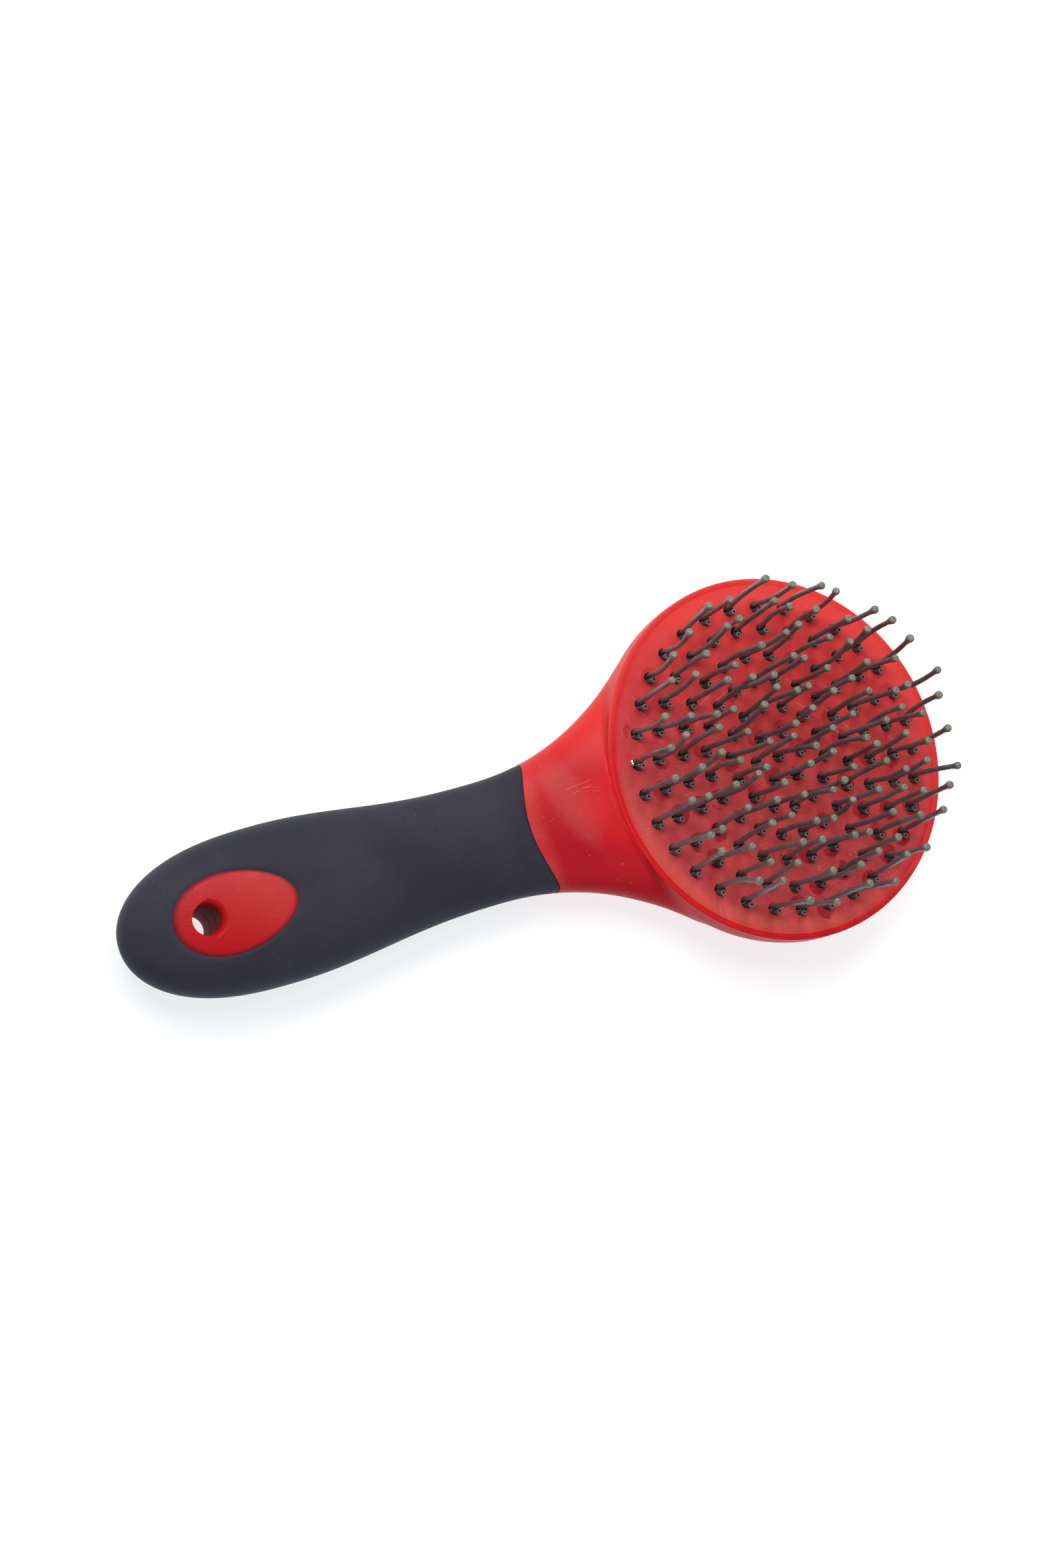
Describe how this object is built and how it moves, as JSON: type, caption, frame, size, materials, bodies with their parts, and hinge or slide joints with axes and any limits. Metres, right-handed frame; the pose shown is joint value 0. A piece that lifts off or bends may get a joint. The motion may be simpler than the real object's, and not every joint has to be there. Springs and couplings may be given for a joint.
{
  "type": "round hair brush",
  "caption": "Round paddle hair brush: red plastic head and neck, drilled face plate with ball-tipped filaments, soft grip over the handle, hang hole in an oval window.",
  "frame": {"origin": "centre of the flat back of the head, which the brush rests on", "axes": "+Z out of the bristle face, +X from the handle's butt towards the head along the handle, +Y across"},
  "size_m": [0.2003, 0.085, 0.0345],
  "materials": {
    "red_plastic": "satin gloss moulded polypropylene",
    "red_face": "satin, fine scratches and dust",
    "navy_rubber": "matte soft-touch thermoplastic rubber",
    "grey_nylon": "satin nylon monofilament",
    "anchor_steel": "flat-wire anchor ends, seen only in the visual model"
  },
  "bodies": {
    "root": {"handle_body": "red_plastic", "soft_grip": "navy_rubber", "face_plate": "red_face", "filaments_ring_1_1": "grey_nylon", "filaments_ring_1_2": "grey_nylon", "filaments_ring_1_3": "grey_nylon", "filaments_ring_1_4": "grey_nylon", "filaments_ring_1_5": "grey_nylon", "filaments_ring_1_6": "grey_nylon", "filaments_ring_1_7": "grey_nylon", "filaments_ring_1_8": "grey_nylon", "filaments_ring_2_1": "grey_nylon", "filaments_ring_2_2": "grey_nylon", "filaments_ring_2_3": "grey_nylon", "filaments_ring_2_4": "grey_nylon", "filaments_ring_2_5": "grey_nylon", "filaments_ring_2_6": "grey_nylon", "filaments_ring_2_7": "grey_nylon", "filaments_ring_3_1": "grey_nylon", "filaments_ring_3_2": "grey_nylon", "filaments_ring_3_3": "grey_nylon", "filaments_ring_3_4": "grey_nylon", "filaments_ring_3_5": "grey_nylon", "filaments_ring_3_6": "grey_nylon", "filaments_ring_4_1": "grey_nylon", "filaments_ring_4_2": "grey_nylon", "filaments_ring_4_3": "grey_nylon", "filaments_ring_4_4": "grey_nylon", "filaments_ring_4_5": "grey_nylon", "filaments_ring_5_1": "grey_nylon", "filaments_ring_5_2": "grey_nylon", "filaments_ring_5_3": "grey_nylon", "filaments_ring_5_4": "grey_nylon", "filaments_ring_6_1": "grey_nylon", "filaments_ring_6_2": "grey_nylon", "filaments_ring_7_1": "grey_nylon"}
  },
  "joints": []
}
